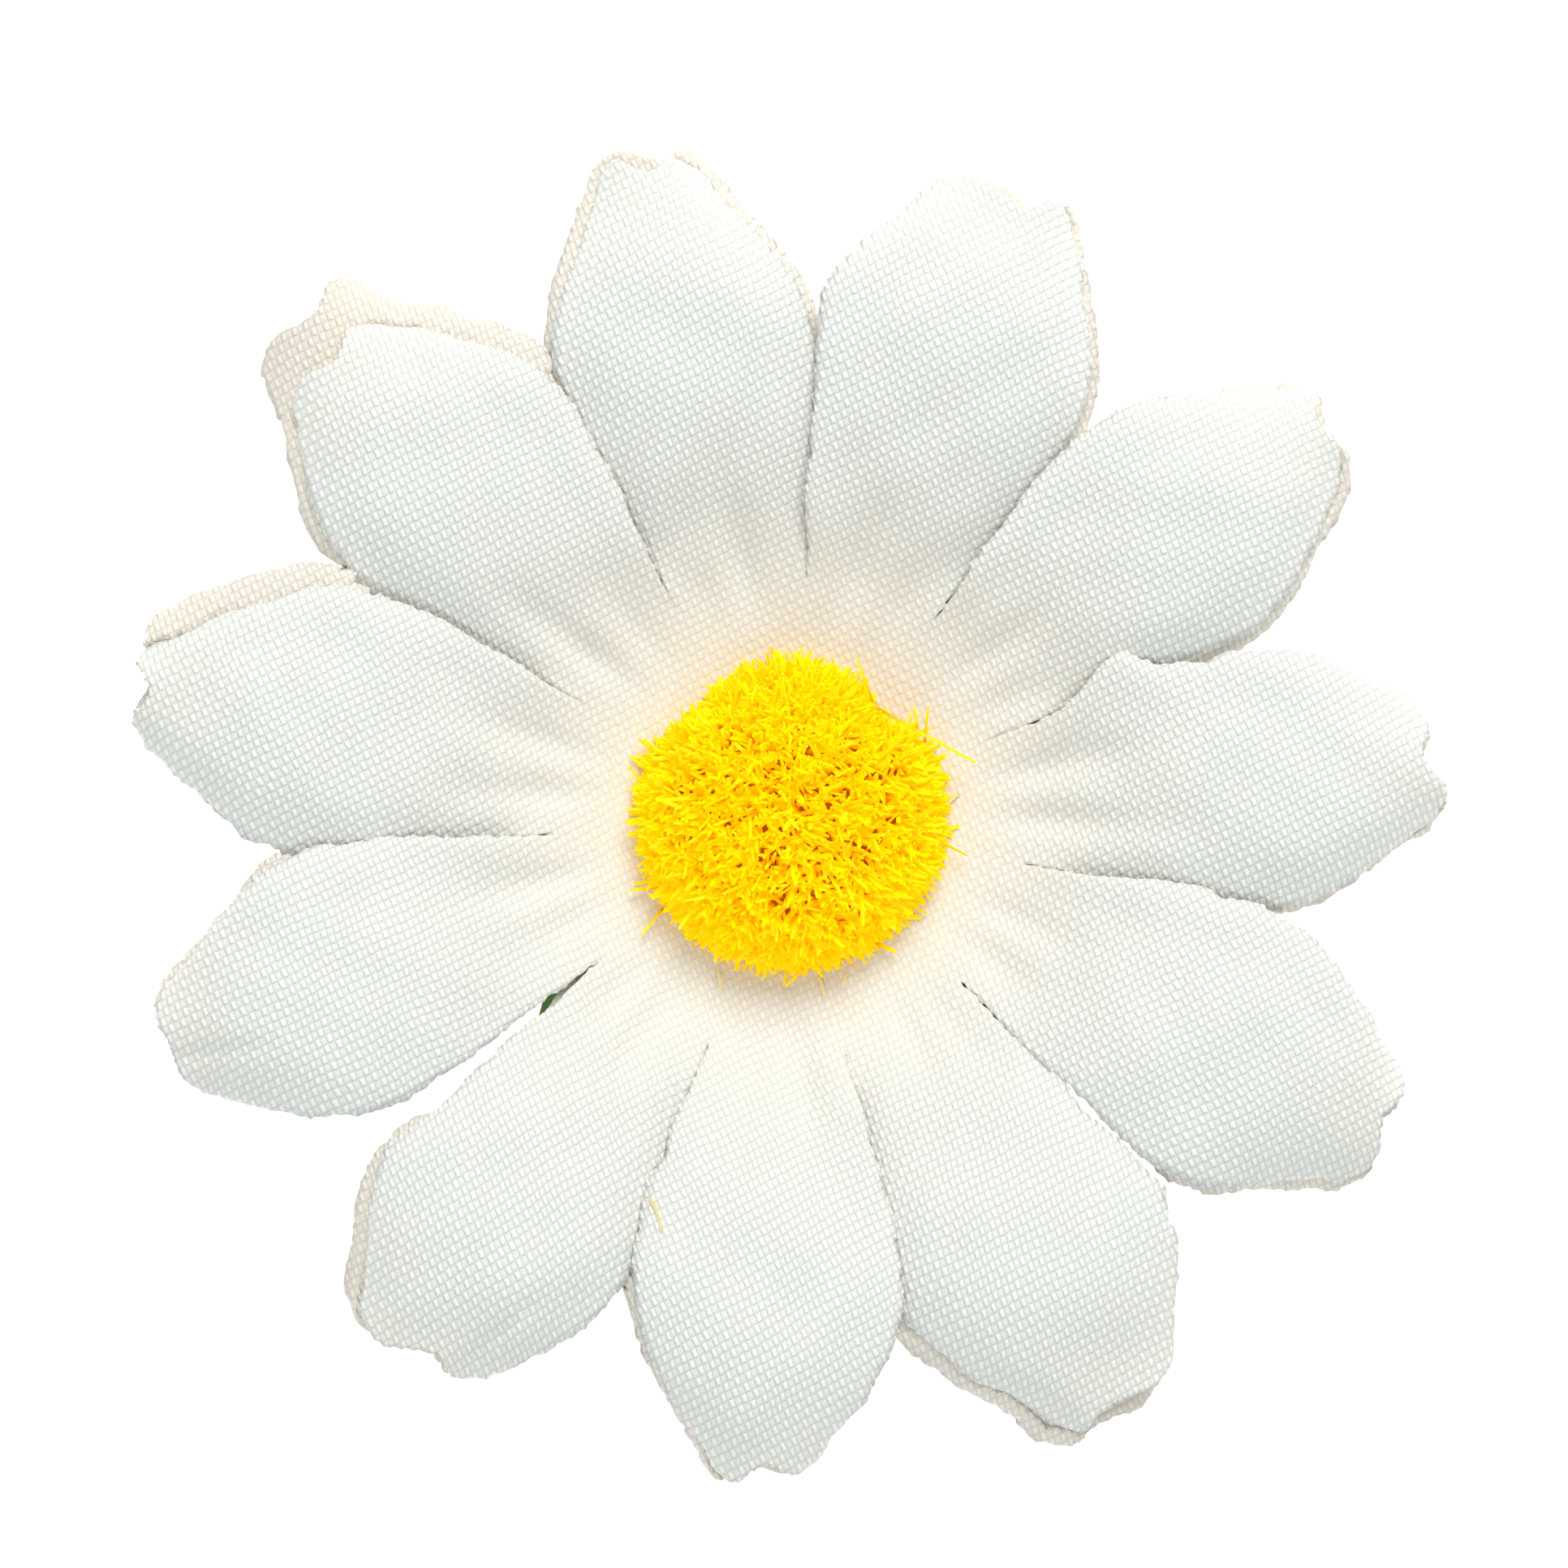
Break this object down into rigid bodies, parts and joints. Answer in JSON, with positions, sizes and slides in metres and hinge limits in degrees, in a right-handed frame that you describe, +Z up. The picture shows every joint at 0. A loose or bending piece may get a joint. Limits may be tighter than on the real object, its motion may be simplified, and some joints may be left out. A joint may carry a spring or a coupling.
{
  "type": "flower hair clip",
  "caption": "Fabric daisy with a fluffy centre glued on a sprung alligator hair clip with a toothed jaw.",
  "frame": {"origin": "on the flower's axis, on the flat underside of the lower arm", "axes": "+Z up out of the flower's face, clip along Y with its nose towards -Y, hinge axis along X"},
  "size_m": [0.0452, 0.0453, 0.012],
  "materials": {
    "clip_steel": "bright nickel plate over pressed sheet",
    "pin_steel": "plated, peened ends",
    "spring_wire": "bright drawn wire",
    "hot_glue": "cloudy, smooth",
    "felt": "pressed felt",
    "green_plastic": "moulded, soft",
    "petal_cloth_rear": "plain woven polyester, stiffened",
    "petal_cloth": "plain woven polyester, stiffened",
    "yellow_plastic": "moulded",
    "yellow_pile": "coarse flock"
  },
  "bodies": {
    "jaw": {"lower_arm": "clip_steel"},
    "flower": {"upper_arm": "clip_steel", "hinge_pin": "pin_steel", "torsion_spring": "spring_wire", "glue_bead": "hot_glue", "felt_pad": "felt", "glue_disc": "hot_glue", "calyx": "green_plastic", "petals_rear": "petal_cloth_rear", "petals_front": "petal_cloth", "centre_button": "yellow_plastic", "flock_pile": "yellow_pile"}
  },
  "joints": [
    {"name": "clip_hinge", "type": "hinge", "parent": "jaw", "child": "flower", "pos_m": [0, 0.0045, 0.0021], "axis": [-1, 0, 0], "range_deg": [0, 30], "stiffness_Nm_per_rad": 0.0003, "springref_deg": -45.84, "deforming": ["torsion_spring"]}
  ]
}
